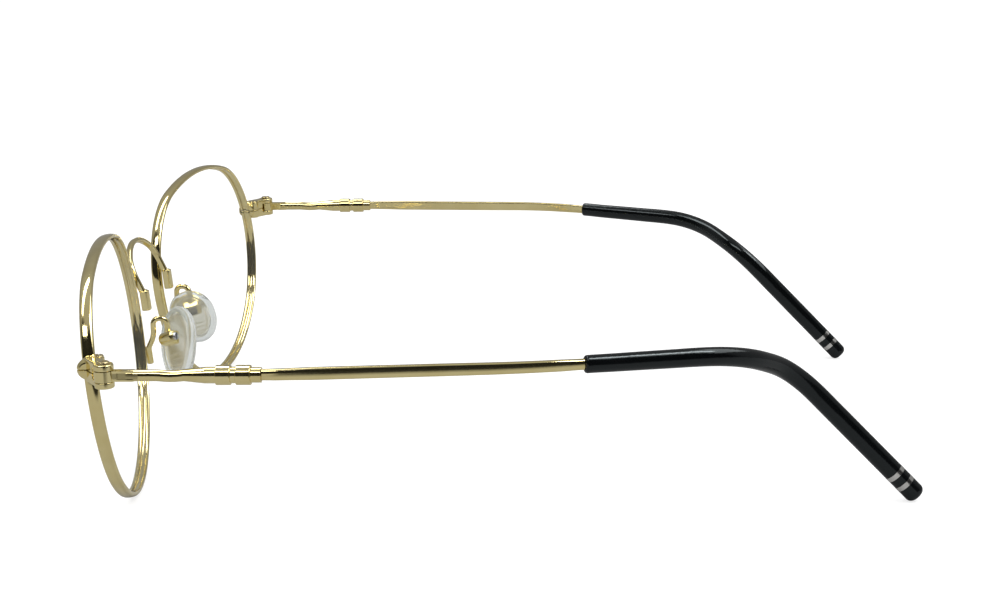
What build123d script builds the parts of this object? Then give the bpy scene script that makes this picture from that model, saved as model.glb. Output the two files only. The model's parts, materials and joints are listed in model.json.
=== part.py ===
from build123d import *
import os
from math import atan2, cos, degrees, hypot, radians, sin, sqrt, tan

# Oval eyeglasses with wire rims, in millimetres.
# +X is the wearer's left, +Y runs back along the temples and +Z is up.
# They stand open on both rims and both temple tips, and the origin is the middle of that footprint.

# Driving dimensions of the whole frame
lens_width = 53.0
lens_height = 38.9
bridge_width = 17.5
hinge_outset = 4.25
temple_reach = 116.7
tip_inset = 24.4

# How each front half stands
wrap_angle = 7.5
tilt_angle = 5.2
hinge_rise = 4.5
hinge_behind_rim = 2.94

# Oval outline of the lens: its widest line, and how round its shoulders are
crown_share = 0.435
crown_round_share = 0.92
foot_round_share = 0.89

# Lens
lens_thickness = 1.4
lens_front_radius = 250.0
lens_back_radius = 240.0
lens_bulge = 1.7
bevel_width = 0.6
seat_gap = 0.03

# Eyewire
rim_depth = 1.9
rim_wall = 0.85
groove_depth = 0.35
groove_width = 0.68
rim_outer_round = 0.3
rim_inner_chamfer = 0.1
closing_gap = 0.12

# Closing block and hinge
block_radius = 1.53
block_setback = 3.2
block_end_inset = 2.7
block_chamfer = 0.5
boss_radius = 0.95
boss_height = 1.6
boss_inset = 4.1
boss_setback = 1.87
knuckle_radius = 1.4
arm_width = 2.1
arm_foot_inset = 3.7
arm_foot_setback = 2.6
plate_top = 1.72
leaf_height = 1.5
leaf_gap = 0.06
leaf_room_radius = 2.2
knuckle_round = 0.2

# Screws
hinge_screw_radius = 0.55
closing_screw_radius = 0.5
screw_head_radius = 0.85
hinge_screw_head_height = 0.32
closing_screw_head_height = 0.24
screw_slot_width = 0.22
screw_slot_depth = 0.12
running_gap = 0.03
thread_gap = 0.01

# Temple front section and ferrule, measured back from the hinge
leaf_thickness = 1.2
leaf_flat_end = 4.2
leaf_flat_start = 1.9
leaf_flat_height = 0.95
leaf_flat_depth = 0.15
wire_radius = 0.82
wire_dip = 0.2
ferrule_start = 10.9
cone_length = 3.2
collar_length = 1.5
ring_length = 2.1
neck_length = 0.7
cuff_length = 1.4
collar_radius = 1.15
ring_radius = 1.4
cuff_radius = 1.08
ring_round = 0.14
wire_socket_depth = 4.2
bar_socket_depth = 4.0

# Temple bar and its bends, as shares of reach, inset and drop
bar_height = 1.55
bar_thickness = 1.0
bar_round = 0.3
bar_lead = 1.5
front_bend_shares = (0.508, 0.129, 0.0)
ear_bend_shares = (0.758, 0.553, 0.04)
drop_bend_shares = (0.833, 0.959, 0.228)
lead_round_share = 0.04
front_round_share = 0.22
ear_round_share = 0.45
drop_round_share = 0.4

# Moulded tip with its inlaid rings
sleeve_start_share = 0.24
sleeve_start_height = 2.6
sleeve_start_width = 2.2
tip_height = 3.1
tip_width = 2.6
tip_grow_share = 0.7
sleeve_station_step = 5.8
sleeve_mouth_round = 0.45
tip_round = 1.0
slope_tries = 5
core_stop = 8.0
core_gap = 0.05
ring_stops = (5.2, 3.1)
tip_ring_width = 0.75
tip_ring_depth = 0.3
tip_ring_proud = 0.02

# Bridge arch and the barrels that hold it
bridge_behind_edge = 1.36
bridge_drop = 1.1
bridge_lean = 24.0
arch_height = 7.5
arch_leg = 2.0
arch_shoulder_share = 0.78
bridge_depth = 1.05
bridge_thickness = 0.85
bridge_round = 0.3
barrel_width = 1.6
barrel_depth = 1.5
barrel_height = 3.4
barrel_behind_edge = 1.71
barrel_round = 0.45
bridge_seat = 1.2
bridge_inset = 0.2

# Nose pads, placed from the hinge
pad_half_gap = 7.0
left_pad_behind_edge = 6.96
right_pad_behind_edge = 6.36
left_pad_drop = 10.1
right_pad_drop = 9.2
left_pad_splay = 27.0
right_pad_splay = 36.0
pad_lean = 5.0
left_pad_toe = 37.0
right_pad_toe = 17.0
pad_width = 8.0
pad_crown = 5.9
pad_foot = 7.2
pad_crown_round_share = 1.3
pad_foot_round_share = 1.6
pad_thickness = 2.3
pad_face_round = 1.0
pad_back_round = 0.6
core_margin = 1.3
core_thickness = 0.8
core_sink = 0.2

# Pad lug, box and screw
lug_thickness = 1.4
lug_radius = 0.68
lug_stem = 1.1
lug_gap = 0.1
screw_standoff = 1.35
box_width = 3.0
box_mouth = 1.0
box_room = 0.82
box_wall = 0.3
box_round = 0.28
pad_screw_radius = 0.38
pad_screw_head = 0.68
pad_screw_head_height = 0.45

# Pad arm, from its foot on the rim up, back and down to the box
arm_radius = 0.46
foot_radius = 0.56
foot_below_centre = 7.8
foot_length = 3.0
foot_behind_rim = 0.4
arm_crest_rise = 3.5
arm_elbow_share = 0.34
arm_knee_share = 0.61
arm_knee_back_share = 0.31
arm_crest_back_share = 0.93
arm_crest_in_share = 0.55
arm_bend_share = 0.46

# One overrun for every cut that passes through
overrun = 1.0

# Sizes worked out from the ones above
lens_crown = lens_height * crown_share
lens_foot = lens_height - lens_crown
rim_inner_grow = seat_gap - groove_depth
rim_outer_grow = rim_inner_grow + rim_wall
lens_edge_depth = lens_width**2 / (8 * lens_back_radius) - lens_bulge + lens_thickness
rim_foot = lens_foot + rim_outer_grow - rim_outer_round
rim_back = rim_depth / 2 - rim_outer_round
front_drop = rim_foot * cos(radians(tilt_angle)) + rim_back * sin(radians(tilt_angle)) + rim_outer_round
hinge_x = bridge_width / 2 + lens_width + hinge_outset
hinge_z = hinge_rise + front_drop
wrap = radians(wrap_angle)
tilt = radians(tilt_angle)
nose_edge_setback = hinge_behind_rim + lens_width * sin(wrap)
bridge_lean_reach = arch_height * sin(radians(bridge_lean)) + bridge_depth / 2
front_reach = nose_edge_setback - bridge_behind_edge + bridge_lean_reach
tip_flat = tip_height / 2 - tip_round
tip_run = hypot(temple_reach * (1 - drop_bend_shares[0]), tip_inset * (1 - drop_bend_shares[1]))
tip_drop = hinge_z - tip_flat
for _ in range(slope_tries):
    tip_slope = atan2(tip_drop * (1 - drop_bend_shares[2]), tip_run)
    tip_drop = hinge_z - tip_flat * cos(tip_slope) - tip_round * (1 - sin(tip_slope))
back_reach = temple_reach + tip_flat * sin(tip_slope) + tip_round * (1 - cos(tip_slope))
hinge_y = (front_reach - back_reach) / 2
nose_edge_y = hinge_y - nose_edge_setback
hinge_point = Vector(hinge_x, hinge_y, hinge_z)
hinge_level = Plane.XY.offset(hinge_z)
ferrule_end = ferrule_start + cone_length + collar_length + 2 * ring_length + neck_length + cuff_length


def from_hinge(inset, back, up):
    """Point placed from the left hinge: towards the nose, towards the ear and up."""
    return Vector(hinge_x - inset, hinge_y + back, hinge_z + up)


def direction(x, y, z):
    """Unit vector."""
    return Vector(x, y, z).normalized()


lens_centre = Vector(
    bridge_width / 2 + lens_width / 2 * cos(wrap),
    hinge_y - hinge_behind_rim - lens_width / 2 * sin(wrap),
    hinge_z - hinge_rise,
)
lens_plane = Plane(
    origin=lens_centre,
    x_dir=(cos(wrap), sin(wrap), 0),
    z_dir=(sin(wrap) * cos(tilt), -cos(wrap) * cos(tilt), -sin(tilt)),
)


def oval_lines(half_width, crown, foot, crown_round, foot_round, grow=0):
    """Closed oval of tangent arcs, widest on its X axis, grown outwards by a parallel distance."""
    reach = half_width + grow
    for way, height, round_size in ((1, crown, crown_round), (-1, foot, foot_round)):
        rise = height + grow
        shoulder = round_size + grow
        arch = (reach**2 + rise**2 - 2 * reach * shoulder) / (2 * (rise - shoulder))
        turn = degrees(atan2(abs(reach - shoulder), abs(arch - rise)))
        for side in (1, -1):
            top = JernArc(start=(0, way * rise), tangent=(side, 0), radius=arch, arc_size=-side * way * turn)
            JernArc(start=top @ 1, tangent=top % 1, radius=shoulder, arc_size=-side * way * (90 - turn))


def lens_outline(grow=0, mode=Mode.ADD):
    """Face of the lens oval, grown by a parallel distance."""
    with BuildLine() as outline:
        oval_lines(
            lens_width / 2,
            lens_crown,
            lens_foot,
            lens_crown * crown_round_share,
            lens_foot * foot_round_share,
            grow,
        )
    make_face(outline.edges(), mode=mode)


def pad_outline(grow=0, mode=Mode.ADD):
    """Face of the nose pad's teardrop, grown by a parallel distance."""
    with BuildLine() as outline:
        oval_lines(
            pad_width / 2,
            pad_crown,
            pad_foot,
            pad_crown * pad_crown_round_share,
            pad_foot * pad_foot_round_share,
            grow,
        )
    make_face(outline.edges(), mode=mode)


def rim_cut(grow, reach):
    """Take away all that lies within the lens oval grown this much, this far each way."""
    with BuildSketch(lens_plane.offset(-reach)) as outline:
        lens_outline(grow)
    extrude(outline.sketch, amount=2 * reach, mode=Mode.SUBTRACT)


def save(piece, name):
    """Label a finished piece and write it."""
    piece.label = name
    export_step(piece, f"parts/{name}.step")


def save_pair(left, name):
    """Write a left piece and its mirror image for the right."""
    with BuildPart() as right:
        mirror(left, about=Plane.YZ)
    save(left, f"{name}_left")
    save(right.part, f"{name}_right")


# Lens: a thin meniscus inside the rim, with a bevel that runs in the groove
def make_lens():
    front_apex = lens_bulge
    back_apex = lens_bulge - lens_thickness
    with BuildPart() as lens:
        with BuildSketch(lens_plane.offset(-lens_height)):
            lens_outline(rim_inner_grow - seat_gap)
        extrude(amount=2 * lens_height)
        with Locations(lens_plane.offset(front_apex - lens_front_radius).location):
            Sphere(lens_front_radius, mode=Mode.INTERSECT)
        with Locations(lens_plane.offset(back_apex - lens_back_radius).location):
            Sphere(lens_back_radius, mode=Mode.SUBTRACT)
        with BuildSketch(lens_plane.offset(-bevel_width / 2)):
            lens_outline()
        extrude(amount=bevel_width)
    return lens.part


# Eyewire: a flat wire round the lens, grooved inside and cut through at the closing block
def make_rim():
    with BuildPart() as rim:
        with BuildSketch(lens_plane.offset(-rim_depth / 2)):
            lens_outline(rim_outer_grow)
            lens_outline(rim_inner_grow, mode=Mode.SUBTRACT)
        extrude(amount=rim_depth)
        ends = rim.faces().filter_by(GeomType.PLANE)
        fillet(ends.edges().filter_by(lambda edge: on_outline(edge, rim_outer_grow)), radius=rim_outer_round)
        ends = rim.faces().filter_by(GeomType.PLANE)
        chamfer(ends.edges().filter_by(lambda edge: on_outline(edge, rim_inner_grow)), length=rim_inner_chamfer)
        with BuildSketch(lens_plane.offset(-groove_width / 2)):
            lens_outline(seat_gap)
        extrude(amount=groove_width, mode=Mode.SUBTRACT)
        with Locations(from_hinge(block_end_inset, -block_setback, 0)):
            Box(lens_width / 2, lens_width / 2, closing_gap, mode=Mode.SUBTRACT)
    return rim.part


def on_outline(edge, grow):
    """True for an edge that lies on the lens oval grown this much, and on no other."""
    local = lens_plane.to_local_coords(edge @ 0.5)
    spread = sqrt(local.X**2 + local.Y**2)
    middle = spread - (rim_outer_grow + rim_inner_grow) / 2
    inner = oval_radius(atan2(local.Y, local.X))
    return (middle > inner) == (grow == rim_outer_grow)


def oval_radius(angle):
    """Distance from the lens plane's origin to the lens oval, this way round."""
    way = 1 if sin(angle) >= 0 else -1
    rise = lens_crown if way == 1 else lens_foot
    shoulder = rise * (crown_round_share if way == 1 else foot_round_share)
    reach = lens_width / 2
    arch = (reach**2 + rise**2 - 2 * reach * shoulder) / (2 * (rise - shoulder))
    turn = atan2(abs(reach - shoulder), abs(arch - rise))
    joint = atan2(rise - arch + arch * cos(turn), arch * sin(turn))
    steep = abs(sin(angle))
    flat = abs(cos(angle))
    if atan2(steep, flat) > joint:
        middle = rise - arch
        return middle * steep + sqrt(arch**2 - (middle * flat) ** 2)
    middle = reach - shoulder
    return middle * flat + sqrt(shoulder**2 - (middle * steep) ** 2)


# Closing block: two halves that the closing screw draws together, each with one hinge knuckle
def make_lock(keep, slit):
    block_axis = from_hinge(0, -block_setback, 0)
    boss_axis = from_hinge(boss_inset, -boss_setback, 0)
    arm_foot = from_hinge(arm_foot_inset, -arm_foot_setback, 0)
    arm_run = hinge_point - arm_foot
    with BuildPart() as lock:
        with BuildSketch(hinge_level.offset(-plate_top)):
            with Locations((hinge_x, hinge_y)):
                Circle(knuckle_radius)
            middle = (arm_foot + hinge_point) / 2
            with Locations(Location((middle.X, middle.Y, 0), (0, 0, degrees(atan2(arm_run.Y, arm_run.X))))):
                SlotCenterToCenter(arm_run.length, arm_width)
        extrude(amount=2 * plate_top)
        fillet(lock.faces().sort_by(Axis.Z)[-1].edges(), radius=knuckle_round)
        fillet(lock.faces().sort_by(Axis.Z)[0].edges(), radius=knuckle_round)
        with Locations(boss_axis):
            Cylinder(boss_radius, 2 * boss_height)
        with BuildSketch(Plane(origin=block_axis, x_dir=(1, 0, 0), z_dir=(0, 0, 1))):
            with BuildLine():
                Polyline(
                    (lens_centre.X - hinge_x, 0),
                    (lens_centre.X - hinge_x, block_radius),
                    (-block_end_inset - block_chamfer, block_radius),
                    (-block_end_inset, block_radius - block_chamfer),
                    (-block_end_inset, 0),
                    close=True,
                )
            make_face()
        revolve(axis=Axis(block_axis, (1, 0, 0)))
        with Locations(hinge_point):
            Cylinder(leaf_room_radius, leaf_height + 2 * leaf_gap, mode=Mode.SUBTRACT)
            Cylinder(hinge_screw_radius + thread_gap, 2 * hinge_z, mode=Mode.SUBTRACT)
        with Locations(boss_axis):
            Cylinder(closing_screw_radius + thread_gap, 2 * hinge_z, mode=Mode.SUBTRACT)
        with BuildSketch(hinge_level.offset(boss_height)):
            with Locations((boss_axis.X, boss_axis.Y)):
                Circle(screw_head_radius + running_gap)
        extrude(amount=boss_height, mode=Mode.SUBTRACT)
        rim_cut(rim_outer_grow, rim_depth / 2)
        rim_cut(rim_inner_grow, lens_width / 2)
        split(bisect_by=hinge_level.offset(slit), keep=keep)
    return lock.part


# Screw: round head with a slot, standing on its axis with the head up
def make_screw(seat, radius, length, head_height):
    head_top = seat.offset(head_height)
    with BuildPart() as screw:
        with BuildSketch(seat.offset(-length)):
            Circle(radius)
        extrude(amount=length)
        with BuildSketch(seat):
            Circle(screw_head_radius)
        extrude(amount=head_height)
        fillet(screw.edges().group_by(Axis.Z)[-1], radius=head_height / 2)
        with BuildSketch(head_top.offset(-screw_slot_depth)):
            Rectangle(2 * screw_head_radius + overrun, screw_slot_width)
        extrude(amount=screw_slot_depth + overrun, mode=Mode.SUBTRACT)
    return screw.part


# Temple front: the knuckle between the two others, its leaf, and the round wire behind it
def make_temple_front():
    wire_start = from_hinge(0, leaf_flat_end - overrun, 0)
    wire_end = from_hinge(0, ferrule_start + wire_socket_depth, 0)
    dip_start = from_hinge(0, (leaf_flat_end + ferrule_start) / 2, 0)
    dip_low = from_hinge(0, (leaf_flat_end + 3 * ferrule_start) / 4, -wire_dip)
    dip_end = from_hinge(0, ferrule_start + overrun / 2, 0)
    with BuildPart() as front:
        with BuildLine() as route:
            FilletPolyline(wire_start, dip_start, dip_low, dip_end, wire_end, radius=ferrule_start)
        with BuildSketch(Plane(origin=wire_start, x_dir=(1, 0, 0), z_dir=(0, 1, 0))):
            Circle(wire_radius)
        sweep(path=route.wires()[0])
        with BuildSketch(hinge_level.offset(-leaf_height / 2)):
            with Locations((hinge_x, hinge_y)):
                Circle(knuckle_radius)
            with Locations((hinge_x, hinge_y + leaf_flat_end / 2)):
                Rectangle(leaf_thickness, leaf_flat_end)
        extrude(amount=leaf_height)
        flat_middle = (leaf_flat_start + leaf_flat_end) / 2
        with Locations(from_hinge(-leaf_thickness / 2, flat_middle, 0)):
            Box(2 * leaf_flat_depth, leaf_flat_end - leaf_flat_start, leaf_flat_height, mode=Mode.SUBTRACT)
        with Locations(hinge_point):
            Cylinder(hinge_screw_radius + running_gap, 2 * leaf_height, mode=Mode.SUBTRACT)
    return front.part


def axis_plane(back):
    """Plane across the temple's axis, this far behind the hinge, with its Z to the ear."""
    return Plane(origin=from_hinge(0, back, 0), x_dir=(1, 0, 0), z_dir=(0, 1, 0))


# Ferrule: turned in one piece, with sockets for the wire in front and the bar behind
def make_ferrule():
    profile_plane = Plane(origin=from_hinge(0, ferrule_start, 0), x_dir=(0, 1, 0), z_dir=(-1, 0, 0))
    steps = (
        (collar_length, collar_radius),
        (ring_length, ring_radius),
        (neck_length, collar_radius),
        (ring_length, ring_radius),
        (cuff_length, cuff_radius),
    )
    with BuildPart() as ferrule:
        with BuildSketch(profile_plane):
            with BuildLine():
                points = [(0, 0), (0, wire_radius), (cone_length, collar_radius)]
                along = cone_length
                for length, radius in steps:
                    points += [(along, radius), (along + length, radius)]
                    along += length
                points.append((along, 0))
                corners = [points[0]]
                for point in points[1:]:
                    if point != corners[-1]:
                        corners.append(point)
                Polyline(*corners, close=True)
            make_face()
        revolve(axis=Axis(hinge_point, (0, 1, 0)))
        rings = ferrule.edges().filter_by(GeomType.CIRCLE).filter_by(lambda e: abs(e.radius - ring_radius) < seat_gap)
        fillet(rings, radius=ring_round)
        with BuildSketch(axis_plane(ferrule_start)):
            Circle(wire_radius + thread_gap)
        extrude(amount=wire_socket_depth + thread_gap, mode=Mode.SUBTRACT)
        with BuildSketch(axis_plane(ferrule_end - bar_socket_depth - thread_gap)):
            bar_section(thread_gap)
        extrude(amount=bar_socket_depth + overrun, mode=Mode.SUBTRACT)
    return ferrule.part


def bar_section(grow=0):
    """Flat bar's section, standing on edge."""
    RectangleRounded(bar_thickness + 2 * grow, bar_height + 2 * grow, bar_round + grow)


def temple_corner(shares):
    """Corner of the temple's route at its shares of reach, inset and drop."""
    back, inset, drop = shares
    return from_hinge(tip_inset * inset, temple_reach * back, -tip_drop * drop)


# Route of the bar and of the moulded tip: straight runs joined by tangent arcs
bar_start = from_hinge(0, ferrule_end - bar_socket_depth, 0)
lead_corner = from_hinge(0, ferrule_end + bar_lead, 0)
front_corner = temple_corner(front_bend_shares)
ear_corner = temple_corner(ear_bend_shares)
drop_corner = temple_corner(drop_bend_shares)
tip_end = temple_corner((1, 1, 1))
sleeve_start = front_corner + (ear_corner - front_corner) * sleeve_start_share
tip_way = (tip_end - drop_corner).normalized()
core_end = tip_end - tip_way * core_stop


def bend_radius(before, corner, after, share):
    """Radius of the arc that takes this share of the shorter run at a corner."""
    arriving = corner - before
    leaving = after - corner
    half_turn = radians(arriving.get_angle(leaving)) / 2
    return share * min(arriving.length, leaving.length) / tan(half_turn)


lead_radius = bend_radius(hinge_point, lead_corner, front_corner, lead_round_share)
front_radius = bend_radius(lead_corner, front_corner, ear_corner, front_round_share)
ear_radius = bend_radius(front_corner, ear_corner, drop_corner, ear_round_share)
drop_radius = bend_radius(ear_corner, drop_corner, tip_end, drop_round_share)


def bar_solid(grow, end):
    """Bar swept from the ferrule to an end point on the last run, grown all round."""
    with BuildPart() as bar:
        with BuildLine() as route:
            FilletPolyline(
                bar_start,
                lead_corner,
                front_corner,
                ear_corner,
                drop_corner,
                end,
                radius=[lead_radius, front_radius, ear_radius, drop_radius],
            )
        with BuildSketch(axis_plane(ferrule_end - bar_socket_depth)):
            bar_section(grow)
        sweep(path=route.wires()[0])
    return bar.part


# Moulded tip: lofted through ovals along the route, bored for the bar, with two ring grooves
def make_sleeve(rings):
    with BuildLine() as route:
        FilletPolyline(sleeve_start, ear_corner, drop_corner, tip_end, radius=[ear_radius, drop_radius])
    line = route.wires()[0]
    sleeve_stations = round(temple_reach / sleeve_station_step)
    with BuildPart() as sleeve:
        for station in range(sleeve_stations):
            share = station / (sleeve_stations - 1)
            grown = min(1, share / tip_grow_share)
            height = sleeve_start_height + (tip_height - sleeve_start_height) * grown
            width = sleeve_start_width + (tip_width - sleeve_start_width) * grown
            with BuildSketch(section_plane(line @ share, line % share)):
                Ellipse(width / 2, height / 2)
        loft()
        ends = sleeve.faces().filter_by(GeomType.PLANE).sort_by(Axis.Y)
        fillet(ends[-1].edges(), radius=tip_round)
        ends = sleeve.faces().filter_by(GeomType.PLANE).sort_by(Axis.Y)
        fillet(ends[0].edges(), radius=sleeve_mouth_round)
        add(bar_solid(core_gap, core_end + tip_way * core_gap), mode=Mode.SUBTRACT)
        add(rings, mode=Mode.SUBTRACT)
    return sleeve.part


def section_plane(point, way):
    """Plane across the tip with its X level, to the side."""
    return Plane(origin=point, x_dir=way.cross(Vector(0, 0, 1)).normalized(), z_dir=way)


# Silver rings let into the tip
def make_tip_rings():
    with BuildPart() as rings:
        for stop in ring_stops:
            middle = tip_end - tip_way * stop
            with BuildSketch(section_plane(middle - tip_way * tip_ring_width / 2, tip_way)):
                Ellipse(tip_width / 2 + tip_ring_proud, tip_height / 2 + tip_ring_proud)
                Ellipse(tip_width / 2 - tip_ring_depth, tip_height / 2 - tip_ring_depth, mode=Mode.SUBTRACT)
            extrude(amount=tip_ring_width)
    return rings.part


# Bridge: a flat wire arch that leans forward, its ends seated in the barrels
bridge_plane = Plane(
    origin=(0, nose_edge_y + bridge_behind_edge, hinge_z - bridge_drop),
    x_dir=(1, 0, 0),
    z_dir=(0, -cos(radians(bridge_lean)), -sin(radians(bridge_lean))),
)
rim_middle_grow = (rim_inner_grow + rim_outer_grow) / 2
bridge_half = lens_centre.X - (lens_width / 2 + rim_middle_grow) * cos(wrap) - bridge_inset


def make_bridge():
    crown = arch_height - arch_leg
    shoulder = crown * arch_shoulder_share
    arch = (bridge_half**2 + crown**2 - 2 * bridge_half * shoulder) / (2 * (crown - shoulder))
    turn = degrees(atan2(bridge_half - shoulder, arch - crown))
    with BuildPart() as bridge:
        with BuildLine(bridge_plane) as route:
            leg = Line((-bridge_half, -bridge_seat), (-bridge_half, arch_leg))
            rise = JernArc(start=leg @ 1, tangent=(0, 1), radius=shoulder, arc_size=turn - 90)
            top = JernArc(start=rise @ 1, tangent=rise % 1, radius=arch, arc_size=-2 * turn)
            fall = JernArc(start=top @ 1, tangent=top % 1, radius=shoulder, arc_size=turn - 90)
            Line(fall @ 1, (bridge_half, -bridge_seat))
        with BuildSketch(Plane(origin=leg @ 0, x_dir=(1, 0, 0), z_dir=leg % 0)):
            RectangleRounded(bridge_thickness, bridge_depth, bridge_round)
        sweep(path=route.wires()[0])
    return bridge.part


# Barrel behind the rim's nasal side, bored from the top for the bridge wire
def make_bridge_barrel(bridge):
    top = Vector(bridge_half, nose_edge_y + barrel_behind_edge, hinge_z - bridge_drop)
    barrel_plane = Plane(origin=top, x_dir=(1, 0, 0), z_dir=(0, -sin(tilt), cos(tilt)))
    with BuildPart() as barrel:
        with BuildSketch(barrel_plane.offset(-barrel_height)):
            RectangleRounded(barrel_width, barrel_depth, barrel_round)
        extrude(amount=barrel_height)
        fillet(barrel.faces().sort_by(Axis.Z)[0].edges(), radius=barrel_round / 2)
        rim_cut(rim_outer_grow, rim_depth / 2)
        rim_cut(rim_inner_grow, lens_edge_depth)
        add(bridge, mode=Mode.SUBTRACT)
    return barrel.part


def pad_plane(toe, splay_angle, behind_edge, drop):
    """Plane of a left nose pad: X back across it, Y up along it, Z away from the nose."""
    splay = radians(splay_angle)
    up = direction(-sin(splay), -sin(radians(pad_lean)), cos(splay))
    across = direction(sin(radians(toe)), cos(radians(toe)), 0)
    across = (across - up * across.dot(up)).normalized()
    centre = Vector(pad_half_gap, nose_edge_y + behind_edge, hinge_z - drop)
    return Plane(origin=centre, x_dir=across, z_dir=across.cross(up))


def across_pad(plane):
    """Plane through a pad's screw, square to the screw, with X along the pad and Y away from the nose."""
    screw_point = plane.origin + plane.z_dir * (pad_thickness / 2 + screw_standoff)
    return Plane(origin=screw_point, x_dir=plane.y_dir, z_dir=plane.x_dir)


# Stiff carrier inside the soft pad, with the lug that the screw passes through
def make_pad_core(plane):
    plate_back = pad_thickness / 2 - core_sink
    hub_plane = across_pad(plane)
    stem_reach = screw_standoff + core_sink
    with BuildPart() as core:
        with BuildSketch(plane.offset(plate_back - core_thickness)):
            pad_outline(-core_margin)
        extrude(amount=core_thickness)
        with BuildSketch(hub_plane.offset(-lug_thickness / 2)):
            Circle(lug_radius)
            with Locations((0, -stem_reach / 2)):
                Rectangle(lug_stem, stem_reach)
            Circle(pad_screw_radius + running_gap, mode=Mode.SUBTRACT)
        extrude(amount=lug_thickness)
    return core.part


# Soft clear pad moulded round the carrier, open over it at the back
def make_nose_pad(plane):
    with BuildPart() as pad:
        with BuildSketch(plane.offset(-pad_thickness / 2)):
            pad_outline()
        extrude(amount=pad_thickness)
        fillet(pad.faces().sort_by(Axis(plane.origin, plane.z_dir))[0].edges(), radius=pad_face_round)
        fillet(pad.faces().sort_by(Axis(plane.origin, plane.z_dir))[-1].edges(), radius=pad_back_round)
        with BuildSketch(plane.offset(pad_thickness / 2 - core_sink - core_thickness)):
            pad_outline(-core_margin)
        extrude(amount=core_thickness + core_sink + overrun, mode=Mode.SUBTRACT)
    return pad.part


def box_outline(room, mouth):
    """Round-backed outline about the pad's screw, its straight mouth this far towards the pad."""
    with BuildLine() as outline:
        back = ThreePointArc((-room, 0), (0, room), (room, 0))
        Polyline(back @ 1, (room, -mouth), (-room, -mouth), back @ 0)
    make_face(outline.edges())


# Box at the arm's end: a cup that the lug stands in, crossed by the pad screw
def make_pad_box(plane):
    hub_plane = across_pad(plane)
    with BuildPart() as box:
        with BuildSketch(hub_plane.offset(-box_width / 2)):
            box_outline(box_room + box_wall, box_mouth)
        extrude(amount=box_width)
        for end in (-1, 1):
            outer = box.faces().sort_by(Axis(hub_plane.origin, hub_plane.z_dir * end))[-1]
            domed = outer.edges().sort_by(Axis(hub_plane.origin, hub_plane.y_dir))[1:]
            fillet(domed, radius=box_round)
        with BuildSketch(hub_plane.offset(-lug_thickness / 2 - lug_gap)):
            box_outline(box_room, box_mouth + overrun)
        extrude(amount=lug_thickness + 2 * lug_gap, mode=Mode.SUBTRACT)
        with BuildSketch(hub_plane.offset(-box_width)):
            Circle(pad_screw_radius + thread_gap)
        extrude(amount=2 * box_width, mode=Mode.SUBTRACT)
    return box.part


# Pad screw: head on the box's rear wall
def make_pad_screw(plane):
    hub_plane = across_pad(plane)
    seat = hub_plane.offset(box_width / 2)
    head_axis = Axis(hub_plane.origin, hub_plane.z_dir)
    with BuildPart() as screw:
        with BuildSketch(hub_plane.offset(-box_width / 2)):
            Circle(pad_screw_radius)
        extrude(amount=box_width)
        with BuildSketch(seat):
            Circle(pad_screw_head)
        extrude(amount=pad_screw_head_height)
        fillet(screw.faces().sort_by(head_axis)[-1].edges(), radius=pad_screw_head_height / 2)
        with BuildSketch(seat.offset(pad_screw_head_height - screw_slot_depth)):
            Rectangle(2 * pad_screw_head + overrun, screw_slot_width)
        extrude(amount=screw_slot_depth + overrun, mode=Mode.SUBTRACT)
    return screw.part


# Pad arm: a foot brazed along the rim's back, then a wire up, over and down to the box
def make_pad_arm(plane):
    hub_plane = across_pad(plane)
    rim_point = lens_plane.from_local_coords(
        Vector(-oval_radius(atan2(foot_below_centre, lens_width / 2)), -foot_below_centre, -rim_depth / 2)
    )
    rim_lean = Vector(0, -sin(tilt), cos(tilt))
    foot = rim_point + Vector(0, foot_behind_rim, 0) - rim_lean * foot_length / 2
    arm_rise = hub_plane.origin.Z + arm_crest_rise - foot.Z
    elbow = foot + rim_lean * arm_rise * arm_elbow_share
    end = hub_plane.origin + hub_plane.x_dir * box_room
    run = end - elbow

    def arm_point(across_share, back_share, rise_share):
        """Point of the arm at its shares of the run from elbow to box, and of the rise from the foot."""
        return Vector(
            elbow.X + run.X * across_share,
            elbow.Y + run.Y * back_share,
            foot.Z + arm_rise * rise_share,
        )

    points = [
        foot + rim_lean * foot_length / 2,
        elbow,
        arm_point(0, arm_knee_back_share, arm_knee_share),
        arm_point(0, arm_knee_back_share, 1),
        arm_point(arm_crest_in_share, arm_crest_back_share, 1),
        end,
    ]
    radii = []
    for before, corner, after in zip(points, points[1:], points[2:]):
        radii.append(bend_radius(before, corner, after, arm_bend_share))
    with BuildPart() as arm:
        with BuildLine() as route:
            FilletPolyline(*points, radius=radii)
        with BuildSketch(Plane(origin=points[0], z_dir=rim_lean)):
            Circle(arm_radius)
        sweep(path=route.wires()[0])
        with BuildSketch(Plane(origin=foot, z_dir=rim_lean)):
            Circle(foot_radius)
        extrude(amount=foot_length)
        fillet(arm.faces().sort_by(Axis.Z)[0].edges(), radius=foot_radius / 2)
        rim_cut(rim_outer_grow, rim_depth / 2)
        with BuildSketch(hub_plane.offset(-box_width / 2)):
            box_outline(box_room + box_wall, box_mouth)
        extrude(amount=box_width, mode=Mode.SUBTRACT)
    return arm.part


os.makedirs("parts", exist_ok=True)

save_pair(make_lens(), "lens")
save_pair(make_rim(), "rim")
save_pair(make_lock(Keep.TOP, closing_gap / 2), "lock_upper")
save_pair(make_lock(Keep.BOTTOM, -closing_gap / 2), "lock_lower")

hinge_seat = Plane(origin=from_hinge(0, 0, plate_top), z_dir=(0, 0, 1))
closing_seat = Plane(origin=from_hinge(boss_inset, -boss_setback, boss_height), z_dir=(0, 0, 1))
hinge_screw = make_screw(hinge_seat, hinge_screw_radius, 2 * plate_top, hinge_screw_head_height)
closing_screw = make_screw(closing_seat, closing_screw_radius, 2 * boss_height, closing_screw_head_height)
save_pair(hinge_screw, "hinge_screw")
save_pair(closing_screw, "closing_screw")

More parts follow.
